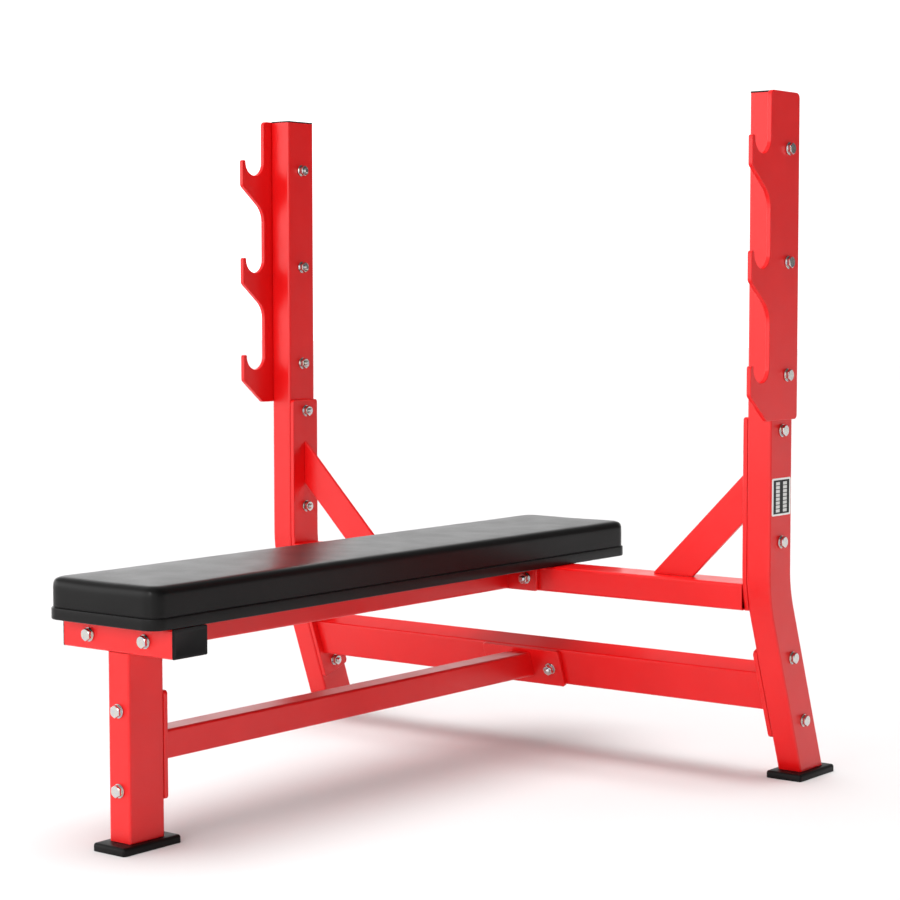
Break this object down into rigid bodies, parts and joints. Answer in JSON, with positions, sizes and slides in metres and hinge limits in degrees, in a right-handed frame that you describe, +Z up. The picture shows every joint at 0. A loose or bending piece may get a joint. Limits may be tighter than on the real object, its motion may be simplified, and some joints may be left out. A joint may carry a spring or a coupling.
{
  "type": "olympic bench press",
  "caption": "Flat padded bench fixed to a wide upright rack, with stepped hooks on both sides that hold a barbell at different heights.",
  "frame": {"origin": "centre of the footprint at floor level, midway between the uprights and midway along the pad", "axes": "+Z up; +Y along the pad from its foot end towards the uprights; +X to the right of someone who looks along +Y"},
  "size_m": [1.2792, 1.372, 1.295],
  "materials": {
    "red_powder_coat": "gloss red powder coat over welded steel tube and plate",
    "zinc_plate": "bright zinc plating",
    "black_plastic": "moulded, fine texture",
    "black_rubber": "moulded, matte",
    "pad_vinyl": "satin upholstery vinyl with a fine grain, stretched over firm foam",
    "pad_edge_vinyl": "the same vinyl wrapped round a plywood board",
    "label_film": "black film with a plain pale border, no text"
  },
  "bodies": {
    "root": {"left_upright": "red_powder_coat", "right_upright": "red_powder_coat", "left_hook_plate": "red_powder_coat", "right_hook_plate": "red_powder_coat", "upper_left_mount_plate": "red_powder_coat", "upper_right_mount_plate": "red_powder_coat", "lower_left_mount_plate": "red_powder_coat", "lower_right_mount_plate": "red_powder_coat", "upper_crossmember": "red_powder_coat", "lower_crossmember": "red_powder_coat", "left_brace": "red_powder_coat", "right_brace": "red_powder_coat", "front_crossbar": "red_powder_coat", "front_leg": "red_powder_coat", "bench_spine": "red_powder_coat", "spine_front_flange": "red_powder_coat", "spine_rear_flange": "red_powder_coat", "low_beam": "red_powder_coat", "low_beam_front_flange": "red_powder_coat", "low_beam_rear_flange": "red_powder_coat", "left_top_plug": "black_plastic", "right_top_plug": "black_plastic", "crossbar_left_cap": "black_plastic", "crossbar_right_cap": "black_plastic", "left_foot": "black_rubber", "right_foot": "black_rubber", "front_foot": "black_rubber", "left_hook_bolt_1": "zinc_plate", "left_hook_bolt_2": "zinc_plate", "left_hook_bolt_3": "zinc_plate", "right_hook_bolt_1": "zinc_plate", "right_hook_bolt_2": "zinc_plate", "right_hook_bolt_3": "zinc_plate", "left_plate_bolt_1": "zinc_plate", "left_plate_bolt_2": "zinc_plate", "left_leg_bolt_1": "zinc_plate", "left_leg_bolt_2": "zinc_plate", "right_plate_bolt_1": "zinc_plate", "right_plate_bolt_2": "zinc_plate", "right_leg_bolt_1": "zinc_plate", "right_leg_bolt_2": "zinc_plate", "crossbar_bolt_left": "zinc_plate", "crossbar_bolt_right": "zinc_plate", "spine_bolt_left": "zinc_plate", "spine_bolt_right": "zinc_plate", "low_beam_bolt_left": "zinc_plate", "low_beam_bolt_right": "zinc_plate", "front_leg_bolt_1": "zinc_plate", "front_leg_bolt_2": "zinc_plate", "pad_bolt_front_left": "zinc_plate", "pad_bolt_front_right": "zinc_plate", "pad_bolt_rear_left": "zinc_plate", "pad_bolt_rear_right": "zinc_plate", "pad_cushion": "pad_vinyl", "pad_board": "pad_edge_vinyl", "right_label": "label_film"}
  },
  "joints": []
}
